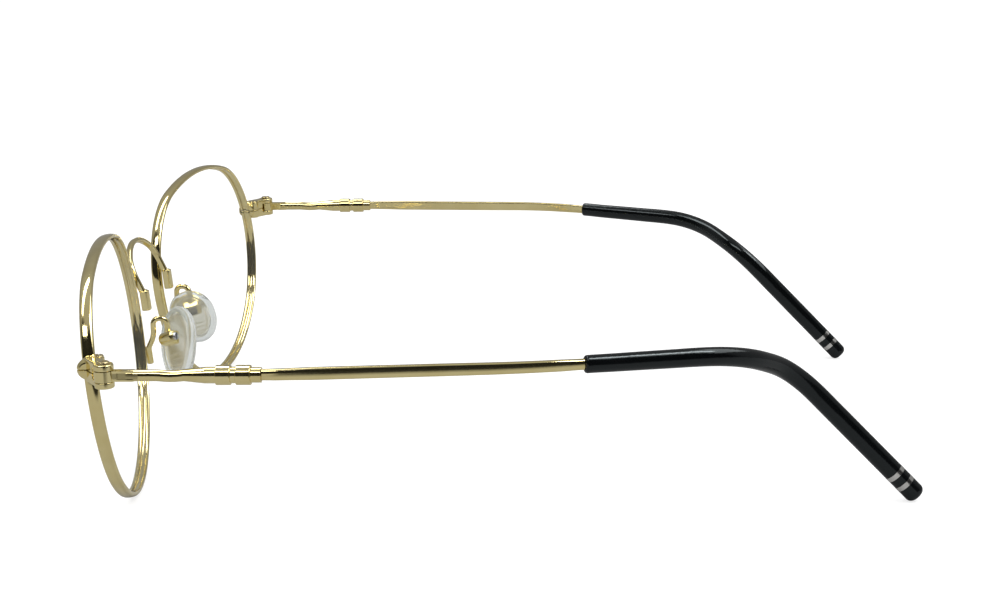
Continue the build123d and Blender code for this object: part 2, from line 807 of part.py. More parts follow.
save_pair(make_temple_front(), "temple_front")
save_pair(make_ferrule(), "ferrule")
save_pair(bar_solid(0, core_end), "temple_bar")
tip_rings = make_tip_rings()
save_pair(tip_rings, "tip_rings")
save_pair(make_sleeve(tip_rings), "temple_sleeve")

bridge_wire = make_bridge()
save(bridge_wire, "bridge_wire")
save_pair(make_bridge_barrel(bridge_wire), "bridge_barrel")

pad_planes = {
    "left": pad_plane(left_pad_toe, left_pad_splay, left_pad_behind_edge, left_pad_drop),
    "right": pad_plane(right_pad_toe, right_pad_splay, right_pad_behind_edge, right_pad_drop),
}
for side, plane in pad_planes.items():
    pieces = {
        "pad_core": make_pad_core(plane),
        "nose_pad": make_nose_pad(plane),
        "pad_box": make_pad_box(plane),
        "pad_screw": make_pad_screw(plane),
        "pad_arm": make_pad_arm(plane),
    }
    for name, piece in pieces.items():
        with BuildPart() as placed:
            if side == "left":
                add(piece)
            else:
                mirror(piece, about=Plane.YZ)
        save(placed.part, f"{name}_{side}")
    print(side, "pad screw at", across_pad(plane).origin, "along", plane.x_dir)

print("hinge at", hinge_point, "bends", lead_radius, front_radius, ear_radius, drop_radius)
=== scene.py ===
import json
import logging
import math
from dataclasses import dataclass
from enum import Enum
from typing import Callable, ClassVar, Dict, List, Sequence, Tuple

import bmesh
import bpy
from mathutils import Matrix, Vector

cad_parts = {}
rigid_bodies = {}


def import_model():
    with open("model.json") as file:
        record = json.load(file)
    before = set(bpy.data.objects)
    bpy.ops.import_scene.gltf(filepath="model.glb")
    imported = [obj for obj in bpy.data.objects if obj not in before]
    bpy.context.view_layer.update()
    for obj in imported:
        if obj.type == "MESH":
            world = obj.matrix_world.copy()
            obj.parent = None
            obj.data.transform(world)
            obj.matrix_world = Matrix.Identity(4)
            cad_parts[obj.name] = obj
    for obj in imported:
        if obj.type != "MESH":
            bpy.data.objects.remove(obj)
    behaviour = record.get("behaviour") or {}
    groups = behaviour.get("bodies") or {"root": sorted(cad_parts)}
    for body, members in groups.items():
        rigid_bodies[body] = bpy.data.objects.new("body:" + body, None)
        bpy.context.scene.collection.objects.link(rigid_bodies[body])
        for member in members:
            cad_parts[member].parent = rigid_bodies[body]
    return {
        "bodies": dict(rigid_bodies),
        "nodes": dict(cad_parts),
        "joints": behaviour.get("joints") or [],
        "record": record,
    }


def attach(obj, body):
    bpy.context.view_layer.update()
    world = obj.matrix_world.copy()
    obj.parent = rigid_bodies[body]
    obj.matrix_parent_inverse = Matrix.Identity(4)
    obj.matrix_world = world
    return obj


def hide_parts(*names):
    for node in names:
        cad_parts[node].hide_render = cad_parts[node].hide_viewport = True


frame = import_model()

Pair = Tuple[float, float]
Point = Tuple[float, float, float]
Color = Tuple[float, float, float, float]

LOG = logging.getLogger("eyeglasses")
MM = 0.001


def grey(tone: float) -> Color:
    """An even grey of this tone."""
    return (tone, tone, tone, 1.0)


def turned(columns: Sequence[Vector]) -> Matrix:
    """Turn whose own axes point along these three directions."""
    return Matrix(columns).transposed()


def show(name: str, data: bpy.types.ID) -> bpy.types.Object:
    """Make an object of some data and link it to the scene.

    Args:
        name: name of the object.
        data: its mesh, lamp or camera.

    Returns:
        The new object.
    """
    item = bpy.data.objects.new(name, data)
    bpy.context.scene.collection.objects.link(item)
    return item


class Side(Enum):
    """The wearer's left or right half of the glasses, with the sign of its X."""

    LEFT = 1
    RIGHT = -1

    @property
    def word(self) -> str:
        """Name of the side, as node names have it."""
        return self.name.lower()

    def node(self, stem: str) -> str:
        """CAD node of this name on this side."""
        return f"{stem}_{self.word}"

    def mirrored(self, point: Vector) -> Vector:
        """A point given for the left side, on this side."""
        return Vector((point.x * self.value, point.y, point.z))


class Body(Enum):
    """Bodies of the frame that pieces ride on."""

    FRONT = "front"
    LEFT_PAD = "left_pad"
    RIGHT_PAD = "right_pad"
    LEFT_TEMPLE = "left_temple"
    RIGHT_TEMPLE = "right_temple"


class NodeSheet:
    """A node tree that is filled node by node."""

    MIX_COLOR_INPUTS = (0, 6, 7)
    MIX_COLOR_OUTPUT = 2

    def __init__(self, tree: bpy.types.NodeTree) -> None:
        """Start with an empty tree.

        Args:
            tree: the tree of a material, a world or a group.
        """
        self.tree = tree
        self.tree.nodes.clear()

    def add(self, kind: str, label: str = "", **settings: object) -> bpy.types.Node:
        """Add a node.

        Args:
            kind: Blender's name for the node type, without its ShaderNode prefix.
            label: what the node does here.
            settings: properties of the node by name.

        Returns:
            The new node.
        """
        node = self.tree.nodes.new(kind if kind.startswith("Node") else "ShaderNode" + kind)
        node.label = label
        for name, value in settings.items():
            setattr(node, name, value)
        return node

    def put(self, node: bpy.types.Node, **values: object) -> bpy.types.Node:
        """Set sockets of a node, each by its name with spaces as underscores.

        Args:
            node: the node to set.
            values: a number, colour or output socket for each input.

        Returns:
            The same node.
        """
        for name, value in values.items():
            self.feed(node.inputs[name.replace("_", " ")], value)
        return node

    def feed(self, socket: bpy.types.NodeSocket, value: object) -> None:
        """Set one input.

        Args:
            socket: the input.
            value: a number, a colour, or the output socket that it is linked to.
        """
        if isinstance(value, bpy.types.NodeSocket):
            self.tree.links.new(value, socket)
        else:
            socket.default_value = value

    def axes(self, kind: str = "Object") -> bpy.types.Node:
        """Split a place into X, Y and Z, in metres of the frame unless another kind is asked for.

        Args:
            kind: the coordinates' name on the Texture Coordinate node.

        Returns:
            The splitting node.
        """
        return self.put(self.add("SeparateXYZ"), Vector=self.add("TexCoord").outputs[kind])

    def math(self, operation: str, first: object, second: object = 0.0) -> bpy.types.NodeSocket:
        """Work out one number from two.

        Args:
            operation: the Math node's operation.
            first: a number or socket.
            second: a number or socket.

        Returns:
            The result's socket.
        """
        node = self.add("Math", operation=operation)
        for socket, value in zip(node.inputs, (first, second)):
            self.feed(socket, value)
        return node.outputs[0]

    def spread(
        self, value: object, low: float, high: float, to_low: float = 0.0, to_high: float = 1.0
    ) -> bpy.types.NodeSocket:
        """Map one range of a value to another, held at both ends.

        Args:
            value: the socket to map.
            low: start of its range.
            high: end of its range.
            to_low: what the start becomes.
            to_high: what the end becomes.

        Returns:
            The mapped value's socket.
        """
        node = self.add("MapRange", clamp=True)
        self.put(node, Value=value, From_Min=low, From_Max=high, To_Min=to_low, To_Max=to_high)
        return node.outputs["Result"]

    def blend(
        self, mask: bpy.types.NodeSocket, first: object, second: object
    ) -> bpy.types.NodeSocket:
        """Mix two colours by a mask.

        Args:
            mask: 0 gives the first colour and 1 the second.
            first: a colour or socket.
            second: a colour or socket.

        Returns:
            The mixed colour's socket.
        """
        node = self.add("Mix", data_type="RGBA")
        for number, value in zip(self.MIX_COLOR_INPUTS, (mask, first, second)):
            self.feed(node.inputs[number], value)
        return node.outputs[self.MIX_COLOR_OUTPUT]


class SharedEffects:
    """Surface effects that several finishes use, each a node group built once."""

    BROAD_NOISE = {"Detail": 3.0, "Roughness": 0.5}
    FINE_NOISE = {"Detail": 4.0, "Roughness": 0.6}
    LINE_NOISE = {"Detail": 6.0, "Roughness": 0.72}
    RUB_NOISE = {"Scale": 120.0, "Detail": 2.0}
    MOTTLE_RANGE = (0.32, 0.68)
    GRAIN_RANGE = (0.3, 0.7)
    RUB_RANGE = (0.45, 0.62)
    LINE_RANGE = (0.52, 0.7)
    MOTTLE_HEIGHT = 0.6
    GRAIN_HEIGHT = 0.4

    def __init__(self) -> None:
        """Build the groups."""
        self.grain = self._surface_grain()
        self.scuffs = self._fine_scuffs()

    @staticmethod
    def _start(
        name: str, inputs: Dict[str, float], outputs: Sequence[str]
    ) -> Tuple[bpy.types.NodeTree, NodeSheet]:
        """Make an empty group with its sockets.

        Args:
            name: name of the group.
            inputs: each input's name and default.
            outputs: names of the outputs.

        Returns:
            The group and the sheet to fill it with.
        """
        group = bpy.data.node_groups.new(name, "ShaderNodeTree")
        kind = "NodeSocketFloat"
        for title, default in inputs.items():
            socket = group.interface.new_socket(name=title, in_out="INPUT", socket_type=kind)
            socket.default_value = default
        for title in outputs:
            group.interface.new_socket(name=title, in_out="OUTPUT", socket_type=kind)
        return group, NodeSheet(group)

    def _surface_grain(self) -> bpy.types.NodeTree:
        """Soft unevenness of a plated, moulded or polished skin.

        Returns:
            The group, whose outputs are a broad Mottle, a fine Grain and a Height.
        """
        group, sheet = self._start(
            "surface_grain",
            {"Broad Scale": 220.0, "Fine Scale": 2600.0},
            ("Mottle", "Grain", "Height"),
        )
        entry = sheet.add("NodeGroupInput")
        end = sheet.add("NodeGroupOutput")
        place = sheet.add("TexCoord").outputs["Object"]
        broad = sheet.add("TexNoise", "broad mottle")
        sheet.put(broad, Vector=place, Scale=entry.outputs["Broad Scale"], **self.BROAD_NOISE)
        fine = sheet.add("TexNoise", "fine grain")
        sheet.put(fine, Vector=place, Scale=entry.outputs["Fine Scale"], **self.FINE_NOISE)
        mottle = sheet.spread(broad.outputs[0], *self.MOTTLE_RANGE)
        grain = sheet.spread(fine.outputs[0], *self.GRAIN_RANGE)
        height = sheet.math(
            "ADD",
            sheet.math("MULTIPLY", mottle, self.MOTTLE_HEIGHT),
            sheet.math("MULTIPLY", grain, self.GRAIN_HEIGHT),
        )
        sheet.put(end, Mottle=mottle, Grain=grain, Height=height)
        return group

    def _fine_scuffs(self) -> bpy.types.NodeTree:
        """Hair-fine polishing lines and handling marks.

        Returns:
            The group, whose outputs are a Scuff mask and a Height.
        """
        group, sheet = self._start(
            "fine_scuffs", {"Line Scale": 900.0, "Stretch": 0.06}, ("Scuff", "Height")
        )
        entry = sheet.add("NodeGroupInput")
        end = sheet.add("NodeGroupOutput")
        axes = sheet.axes()
        drawn = sheet.add("CombineXYZ")
        sheet.put(
            drawn,
            X=axes.outputs["X"],
            Y=sheet.math("MULTIPLY", axes.outputs["Y"], entry.outputs["Stretch"]),
            Z=axes.outputs["Z"],
        )
        lines = sheet.add("TexNoise", "drawn lines")
        scale = entry.outputs["Line Scale"]
        sheet.put(lines, Vector=drawn.outputs[0], Scale=scale, **self.LINE_NOISE)
        patches = sheet.add("TexNoise", "where hands rub")
        sheet.put(patches, Vector=sheet.add("TexCoord").outputs["Object"], **self.RUB_NOISE)
        rubbed = sheet.spread(patches.outputs[0], *self.RUB_RANGE)
        marks = sheet.spread(lines.outputs[0], *self.LINE_RANGE)
        scuff = sheet.math("MULTIPLY", marks, rubbed)
        height = sheet.math("SUBTRACT", lines.outputs[0], scuff)
        sheet.put(end, Scuff=scuff, Height=height)
        return group


@dataclass(frozen=True)
class Finish:
    """What every finish has: a name, two close colours and how its gloss varies."""

    name: str
    base: Color
    shade: Color
    smooth: float
    dull: float
    broad_scale: float = 220.0
    fine_scale: float = 2600.0
    relief: float = 0.00001

    GRAIN_WEAR: ClassVar[float] = 0.35
    SCUFF_HEIGHT: ClassVar[float] = 0.5
    RELIEF_STRENGTH: ClassVar[float] = 0.6

    def make(self, effects: SharedEffects) -> bpy.types.Material:
        """Make the material with its colour, roughness and relief.

        Args:
            effects: the shared node groups.

        Returns:
            The material.
        """
        material = bpy.data.materials.new(self.name)
        material.use_nodes = True
        sheet = NodeSheet(material.node_tree)
        end = sheet.add("OutputMaterial")
        shader = sheet.add("BsdfPrincipled")
        grain = sheet.add("Group", "grain", node_tree=effects.grain)
        sheet.put(grain, Broad_Scale=self.broad_scale, Fine_Scale=self.fine_scale)
        scuffs = sheet.add("Group", "scuffs", node_tree=effects.scuffs)
        tint = sheet.blend(grain.outputs["Mottle"], self.base, self.shade)
        wear = sheet.math("MULTIPLY", grain.outputs["Grain"], self.GRAIN_WEAR)
        worn = sheet.math("MAXIMUM", scuffs.outputs["Scuff"], wear)
        relief = sheet.add("Bump", "relief")
        scratched = sheet.math("MULTIPLY", scuffs.outputs["Height"], self.SCUFF_HEIGHT)
        raised = sheet.math("ADD", grain.outputs["Height"], scratched)
        sheet.put(relief, Height=raised, Distance=self.relief, Strength=self.RELIEF_STRENGTH)
        sheet.put(
            shader,
            Base_Color=tint,
            Roughness=sheet.spread(worn, 0.0, 1.0, self.smooth, self.dull),
            Normal=relief.outputs["Normal"],
        )
        sheet.put(end, Surface=shader.outputs["BSDF"])
        self.complete(sheet, shader, grain)
        return material

    def complete(self, sheet: NodeSheet, shader: bpy.types.Node, grain: bpy.types.Node) -> None:
        """Set what only this kind of finish has; the plain finish adds nothing."""


@dataclass(frozen=True)
class Plating(Finish):
    """Polished metal plate."""

    def complete(self, sheet: NodeSheet, shader: bpy.types.Node, grain: bpy.types.Node) -> None:
        """Make the shader a metal."""
        sheet.put(shader, Metallic=1.0)


@dataclass(frozen=True)
class MilledPlating(Plating):
    """Polished plate with a satin pocket milled into the outer side of each temple's leaf."""

    EDGE_SHARE: ClassVar[float] = 0.92

    pocket_tint: Color = (0.52, 0.45, 0.23, 1.0)
    pocket_dull: float = 0.36
    pocket_depth: Pair = (66.25 * MM, 66.4 * MM)
    pocket_middle: Pair = (-49.6 * MM, 26.976 * MM)
    pocket_half: Pair = (1.9 * MM, 0.42 * MM)

    def complete(self, sheet: NodeSheet, shader: bpy.types.Node, grain: bpy.types.Node) -> None:
        """Tint and dull the pocket by its place on the leaf.

        Args:
            sheet: the material's sheet.
            shader: its main shader.
            grain: its grain node.
        """
        super().complete(sheet, shader, grain)
        axes = sheet.axes()
        mask = sheet.spread(sheet.math("ABSOLUTE", axes.outputs["X"]), *self.pocket_depth)
        for axis, middle, half in zip("YZ", self.pocket_middle, self.pocket_half):
            away = sheet.math("ABSOLUTE", sheet.math("SUBTRACT", axes.outputs[axis], middle))
            inside = sheet.spread(away, half * self.EDGE_SHARE, half, 1.0, 0.0)
            mask = sheet.math("MULTIPLY", mask, inside)
        tint, gloss = (
            shader.inputs[name].links[0].from_socket for name in ("Base Color", "Roughness")
        )
        sheet.put(
            shader,
            Base_Color=sheet.blend(mask, tint, self.pocket_tint),
            Roughness=sheet.math("MAXIMUM", gloss, sheet.math("MULTIPLY", mask, self.pocket_dull)),
        )


@dataclass(frozen=True)
class GlossMoulding(Finish):
    """Opaque moulded plastic under a clear polish."""

    coat: float = 0.25
    thin_share: float = 0.8
    coat_roughness: float = 0.05
    ior: float = 1.46
    reflection: float = 0.34
    # painted reflection tint: sheen makes the polish's reflections cool blue in the shader itself
    sheen: Color = (0.82, 0.97, 1.0, 1.0)

    def complete(self, sheet: NodeSheet, shader: bpy.types.Node, grain: bpy.types.Node) -> None:
        """Add the polish, a little thinner where the skin is mottled.

        Args:
            sheet: the material's sheet.
            shader: its main shader.
            grain: its grain node.
        """
        thin = self.coat * self.thin_share
        sheet.put(
            shader,
            Coat_Roughness=self.coat_roughness,
            IOR=self.ior,
            Specular_IOR_Level=self.reflection,
            # painted reflection tint, cool blue
            Specular_Tint=self.sheen,
            Coat_Weight=sheet.spread(grain.outputs["Mottle"], 0.0, 1.0, self.coat, thin),
        )


@dataclass(frozen=True)
class ClearMoulding(Finish):
    """Clear plastic that bends the light passing through it."""

    ior: float = 1.15
    clearness: float = 0.9

    def complete(self, sheet: NodeSheet, shader: bpy.types.Node, grain: bpy.types.Node) -> None:
        """Let light through the whole body."""
        sheet.put(shader, IOR=self.ior, Transmission_Weight=self.clearness)


@dataclass(frozen=True)
class LensGlass(Finish):
    """Thin coated lens, all but unseen from in front; its faint grey on the slant is a painted
    reflection.
    """

    face_alpha: float = 0.012
    edge_alpha: float = 0.06
    film_alpha: float = 0.006
    edge_power: float = 4.0
    blend: float = 0.5
    ior: float = 1.5

    def complete(self, sheet: NodeSheet, shader: bpy.types.Node, grain: bpy.types.Node) -> None:
        """Show the lens by the angle that a face is seen at, painting the glass's slanting
        reflection as grey.

        Args:
            sheet: the material's sheet.
            shader: its main shader.
            grain: its grain node.
        """
        # painted reflection: the grey base grows more opaque on the slant, where real glass would
        # mirror the room
        facing = sheet.add("LayerWeight", "slant")
        sheet.put(facing, Blend=self.blend)
        slant = sheet.math("POWER", facing.outputs["Facing"], self.edge_power)
        seen = sheet.spread(slant, 0.0, 1.0, self.face_alpha, self.edge_alpha)
        film = sheet.math("MULTIPLY", grain.outputs["Mottle"], self.film_alpha)
        sheet.put(shader, IOR=self.ior, Alpha=sheet.math("ADD", seen, film))


class FinishSet:
    """The finishes of these glasses, by the record's material slots."""

    GOLD: Color = (0.91, 0.79, 0.41, 1.0)
    GOLD_SHADE: Color = (0.83, 0.7, 0.33, 1.0)

    def __init__(self, effects: SharedEffects) -> None:
        """Make each material once.

        Args:
            effects: the shared node groups.
        """
        gold = {"base": self.GOLD, "shade": self.GOLD_SHADE, "smooth": 0.06, "relief": 0.000005}
        plans: Dict[str, Finish] = {
            "gold_frame": Plating("gold_plate_frame", dull=0.16, **gold),
            "gold_temple": Plating(
                "gold_plate_temple", dull=0.17, broad_scale=180.0, fine_scale=2200.0, **gold
            ),
            "gold_leaf": MilledPlating("gold_plate_leaf", dull=0.17, **gold),
            "gold_screw": Plating(
                "gold_plate_screw",
                base=(0.85, 0.72, 0.4, 1.0),
                shade=(0.6, 0.5, 0.25, 1.0),
                smooth=0.14,
                dull=0.34,
            ),
            "silver_screw": Plating(
                "bright_screw",
                base=(0.8, 0.81, 0.82, 1.0),
                shade=(0.6, 0.61, 0.63, 1.0),
                smooth=0.1,
                dull=0.28,
            ),
            "silver_ring": Plating(
                "bright_ring",
                base=(0.78, 0.77, 0.74, 1.0),
                shade=(0.66, 0.65, 0.63, 1.0),
                smooth=0.12,
                dull=0.3,
            ),
            "black_tip": GlossMoulding(
                "black_tip_polish",
                base=(0.0012, 0.0015, 0.0017, 1.0),
                shade=(0.0022, 0.0025, 0.0028, 1.0),
                smooth=0.09,
                dull=0.2,
                broad_scale=150.0,
                fine_scale=3000.0,
            ),
            "clear_pad": ClearMoulding(
                "clear_pad_moulding",
                base=(0.8, 0.825, 0.81, 1.0),
                shade=(0.74, 0.77, 0.75, 1.0),
                smooth=0.12,
                dull=0.22,
                relief=0.000015,
            ),
            # painted reflection: the carriers' warm tint stands in for the gold of the frame that
            # a carrier mirrors
            "pad_carrier": ClearMoulding(
                "clear_carrier",
                base=(0.93, 0.89, 0.79, 1.0),
                shade=(0.88, 0.84, 0.72, 1.0),
                smooth=0.14,
                dull=0.26,
                ior=1.12,
                clearness=0.91,
            ),
            "lens": LensGlass(
                "clear_lens",
                base=(0.6, 0.63, 0.63, 1.0),
                shade=(0.56, 0.6, 0.59, 1.0),
                smooth=0.015,
                dull=0.04,
                broad_scale=40.0,
                fine_scale=400.0,
                relief=0.000001,
            ),
        }
        self.by_slot: Dict[str, bpy.types.Material] = {
            slot: plan.make(effects) for slot, plan in plans.items()
        }

    def __getitem__(self, slot: str) -> bpy.types.Material:
        """Material of a slot."""
        return self.by_slot[slot]


class Piece:
    """A mesh piece built here that rides on a body of the frame."""

    def __init__(self, name: str, body: Body, slot: str) -> None:
        """Name the piece.

        Args:
            name: name of the piece.
            body: the body that it moves with.
            slot: the record's material slot that it takes its finish from.
        """
        self.name = name
        self.body = body
        self.slot = slot
        self.points: List[Vector] = []
        self.faces: List[Tuple[int, ...]] = []

    def ring(self, points: Sequence[Vector]) -> List[int]:
        """Add a ring of points.

        Args:
            points: the ring's points, in order.

        Returns:
            Their numbers.
        """
        first = len(self.points)
        self.points.extend(points)
        return list(range(first, first + len(points)))

    def join(self, first: Sequence[int], second: Sequence[int]) -> None:
        """Join two rings of as many points by a band of faces.

        Args:
            first: numbers of one ring's points.
            second: numbers of the other's.
        """
        count = len(first)
        for i in range(count):
            j = (i + 1) % count
            self.faces.append((first[i], first[j], second[j], second[i]))

    def close(self, ring: Sequence[int], middle: Vector) -> None:
        """Close a ring with a fan.

        Args:
            ring: numbers of the ring's points.
            middle: point in the middle of the fan.
        """
        hub = len(self.points)
        self.points.append(middle)
        for i, start in enumerate(ring):
            self.faces.append((start, ring[(i + 1) % len(ring)], hub))

    def loft(self, rings: Sequence[Sequence[Vector]]) -> None:
        """Skin a closed body through rings, with a fan at each end.

        Args:
            rings: the rings, in order.
        """
        numbers = [self.ring(points) for points in rings]
        for first, second in zip(numbers, numbers[1:]):
            self.join(first, second)
        for ends in (numbers[0], numbers[-1]):
            middle = sum((self.points[i] for i in ends), Vector()) / len(ends)
            self.close(ends, middle)

    def build(self, material: bpy.types.Material) -> bpy.types.Object:
        """Make the object, smooth it, and put it on its body.

        Args:
            material: its material.

        Returns:
            The new object.
        """
        mesh = bpy.data.meshes.new(self.name)
        mesh.from_pydata([tuple(p) for p in self.points], [], self.faces)
        skin = bmesh.new()
        skin.from_mesh(mesh)
        bmesh.ops.recalc_face_normals(skin, faces=skin.faces[:])
        skin.to_mesh(mesh)
        skin.free()
        mesh.polygons.foreach_set("use_smooth", [True] * len(mesh.polygons))
        mesh.materials.append(material)
        piece = show(self.name, mesh)
        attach(piece, self.body.value)
        LOG.info("built %s with %d faces on %s", self.name, len(self.faces), self.body.value)
        return piece


def oval_point(
    angle: float, half_width: float, crown: float, foot: float, squareness: float
) -> Pair:
    """A point of a rounded teardrop.

    Args:
        angle: where on the outline, in radians from its widest line.
        half_width: half of its width.
        crown: how far it reaches up.
        foot: how far it reaches down.
        squareness: exponent of the outline, 2 being an ellipse.

    Returns:
        The point across and along.
    """
    c, s = math.cos(angle), math.sin(angle)
    power = 2.0 / squareness
    along = crown if s >= 0 else foot
    across = half_width * math.copysign(abs(c) ** power, c)
    return across, along * math.copysign(abs(s) ** power, s)


@dataclass
class NosePad:
    """A clear nose pad with its crowned face, its raised border and the ladder in its back.

    The profile, the rungs and their reach are in millimetres, its other lengths in metres.
    """

    side: Side
    origin: Point
    toe: float
    splay: float
    lean: float = 5.0
    half_width: float = 3.98 * MM
    crown: float = 5.88 * MM
    foot: float = 7.18 * MM
    thickness: float = 2.26 * MM
    squareness: float = 2.08
    steps: int = 72
    profile: Tuple[Pair, ...] = (
        (3.6, -1.0), (2.6, -0.97), (1.7, -0.9), (1.1, -0.78), (0.62, -0.6), (0.28, -0.36),
        (0.07, -0.1), (0.0, 0.16), (0.03, 0.42), (0.14, 0.66), (0.34, 0.85), (0.62, 0.96),
        (0.92, 1.0), (1.16, 0.96), (1.28, 0.84), (1.36, 0.7), (1.52, 0.64), (2.2, 0.62),
        (3.6, 0.62),
    )
    border_inset: float = 1.85 * MM
    border_level: float = 0.66
    bead: float = 0.13 * MM
    bead_steps: int = 8
    rungs: Tuple[float, ...] = (-2.6, -3.6, -4.6)
    rung_stations: Tuple[float, ...] = (-1.0, -0.9, -0.5, 0.0, 0.5, 0.9, 1.0)
    rung_level: float = 0.68
    rung_reach: float = 1.75
    rung_taper: float = 0.12
    rung_size: float = 0.2 * MM
    rung_bow: float = 0.12 * MM
    rung_fall: float = 0.95
    rung_end: float = 0.05
    rung_flatness: float = 0.7
    rung_steps: int = 10

    def body(self) -> Body:
        """Body that the pad rides on."""
        return Body(self.side.word + "_pad")

    def place(self) -> Callable[[float, float, float], Vector]:
        """Work out where the pad stands.

        Returns:
            A function from across, along and away from the nose to a point of the frame.
        """
        splay, toe, lean = (math.radians(v) for v in (self.splay, self.toe, self.lean))
        up = Vector((-math.sin(splay), -math.sin(lean), math.cos(splay))).normalized()
        across = Vector((math.sin(toe), math.cos(toe), 0.0))
        across = (across - up * across.dot(up)).normalized()
        away = across.cross(up)
        centre = Vector(self.origin)

        def to_frame(x: float, y: float, z: float) -> Vector:
            """A point of the pad in the frame."""
            return self.side.mirrored(centre + across * x + up * y + away * z)

        return to_frame

    def outline(self, inset: float, height: float) -> List[Vector]:
        """Ring of the pad's outline.

        Args:
            inset: how far inside the outline.
            height: how far from the middle, away from the nose.

        Returns:
            The ring's points.
        """
        to_frame = self.place()
        ring = []
        for i in range(self.steps):
            reaches = (self.half_width - inset, self.crown - inset, self.foot - inset)
            x, y = oval_point(math.tau * i / self.steps, *reaches, self.squareness)
            ring.append(to_frame(x, y, height))
        return ring

    def moulding(self) -> Piece:
        """Shape the pad: a crowned face to the nose, full sides and a back with a raised border.

        Returns:
            The piece, skinned through its profile's insets (mm) and shares of half its thickness.
        """
        piece = Piece(self.side.node("clear_pad"), self.body(), "clear_pad")
        half = self.thickness / 2
        piece.loft([self.outline(inset * MM, height * half) for inset, height in self.profile])
        return piece

    def border(self) -> Piece:
        """Shape the raised bead that runs round inside the pad's back.

        Returns:
            The piece.
        """
        piece = Piece(self.side.node("pad_border"), self.body(), "pad_carrier")
        level = self.border_level * (self.thickness / 2)
        numbers = []
        for i in range(self.bead_steps):
            turn = math.tau * i / self.bead_steps
            inset = self.border_inset + self.bead * math.cos(turn)
            numbers.append(piece.ring(self.outline(inset, level + self.bead * math.sin(turn))))
        for first, second in zip(numbers, numbers[1:] + numbers[:1]):
            piece.join(first, second)
        return piece

    def ladder(self) -> Piece:
        """Shape the rungs moulded across the carrier below its lug.

        Returns:
            The piece.
        """
        piece = Piece(self.side.node("pad_ladder"), self.body(), "pad_carrier")
        to_frame = self.place()
        level = self.rung_level * (self.thickness / 2)
        for rung in self.rungs:
            reach = (self.rung_reach + self.rung_taper * (rung - self.rungs[0])) * MM
            rings = []
            for share in self.rung_stations:
                left = max(self.rung_end, 1 - share**2 * self.rung_fall)
                size = self.rung_size * math.sqrt(left)
                ring = []
                for k in range(self.rung_steps):
                    turn = math.tau * k / self.rung_steps
                    y = rung * MM + size * math.cos(turn) + self.rung_bow * share**2
                    z = level + size * self.rung_flatness * math.sin(turn)
                    ring.append(to_frame(reach * share, y, z))
                rings.append(ring)
            piece.loft(rings)
        return piece

    def dress(self, finishes: FinishSet) -> None:
        """Build the pad's pieces and let them stand for the CAD pad.

        Args:
            finishes: the finishes by slot.
        """
        moulding = self.moulding().build(finishes["clear_pad"])
        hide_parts(self.side.node("nose_pad"))
        self.border().build(finishes["pad_carrier"])
        self.ladder().build(finishes["pad_carrier"])


def rounded_route(corners: Sequence[Vector], radii: Sequence[float], step: float) -> List[Vector]:
    """Points along runs whose corners are rounded.

    Args:
        corners: the ends and corners of the runs.
        radii: radius at each inner corner.
        step: angle between points of a rounding, in radians.

    Returns:
        The points in order.
    """
    points = [corners[0]]
    for before, corner, after, radius in zip(corners, corners[1:], corners[2:], radii):
        arriving, leaving = (corner - before).normalized(), (after - corner).normalized()
        turn = arriving.angle(leaving)
        start = corner - arriving * radius * math.tan(turn / 2)
        inward = (leaving - arriving * math.cos(turn)).normalized()
        count = max(2, math.ceil(turn / step))
        for i in range(count + 1):
            swept = turn * i / count
            gone = arriving * radius * math.sin(swept)
            points.append(start + gone + inward * radius * (1 - math.cos(swept)))
    points.append(corners[-1])
    return points


@dataclass
class CrownedBar:
    """The temple's flat bar, crowned on its outer face and flat on its inner one.

    Its heights along Y, corners and radii are in millimetres. Squareness is the outer face's, then
    the inner one's.
    """

    side: Side
    thickness: float = 0.995 * MM
    heights: Tuple[Pair, ...] = (
        (-30.3, 1.545), (-28.5, 1.62), (-23.0, 1.78), (-8.0, 1.76), (10.0, 1.65), (12.9, 1.545),
    )
    squareness: Pair = (2.6, 7.0)
    reach: float = 1.0 * MM
    bend_step: float = 0.5
    steps: int = 56
    corners: Tuple[Point, ...] = (
        (66.0, -33.5, 26.976), (66.0, -29.2653, 26.976),
        (62.8524, 6.6183, 26.976), (59.65, 15.65, 26.6499),
    )
    radii: Tuple[float, ...] = (21.382, 53.048)

    def height_at(self, spot: Vector) -> float:
        """Work out how high the bar is, eased from one station to the next.

        Args:
            spot: a point of its middle line.

        Returns:
            Its height there.
        """
        along = min(max(spot.y / MM, self.heights[0][0]), self.heights[-1][0])
        for (start, low), (end, high) in zip(self.heights, self.heights[1:]):
            if along <= end:
                share = (along - start) / (end - start)
                return (low + (high - low) * share * share * (3 - 2 * share)) * MM
        return self.heights[-1][1] * MM

    def route(self) -> List[Vector]:
        """Lay the bar's middle line.

        Returns:
            Its points, no further apart than its reach.
        """
        bends = rounded_route(
            [Vector(c) * MM for c in self.corners],
            [radius * MM for radius in self.radii],
            math.radians(self.bend_step),
        )
        points = [bends[0]]
        for end in bends[1:]:
            start = points[-1]
            count = max(1, math.ceil((end - start).length / self.reach))
            points.extend(start.lerp(end, i / count) for i in range(1, count + 1))
        return points

    def dress(self, finishes: FinishSet) -> None:
        """Build the bar and let it stand for the CAD bar.

        Args:
            finishes: the finishes by slot.
        """
        body = Body(self.side.word + "_temple")
        piece = Piece(self.side.node("crowned_bar"), body, "gold_temple")
        route = self.route()
        rings = []
        for i, point in enumerate(route):
            ahead = route[min(i + 1, len(route) - 1)] - route[max(i - 1, 0)]
            across = ahead.cross(Vector((0, 0, 1))).normalized()
            up = across.cross(ahead).normalized()
            half = self.height_at(point) / 2
            ring = []
            for k in range(self.steps):
                turn = math.tau * k / self.steps
                squareness = self.squareness[0 if math.cos(turn) > 0 else 1]
                x, z = oval_point(turn, self.thickness / 2, half, half, squareness)
                ring.append(self.side.mirrored(point + across * x + up * z))
            rings.append(ring)
        piece.loft(rings)
        bar = piece.build(finishes["gold_temple"])
        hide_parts(self.side.node("temple_bar"))


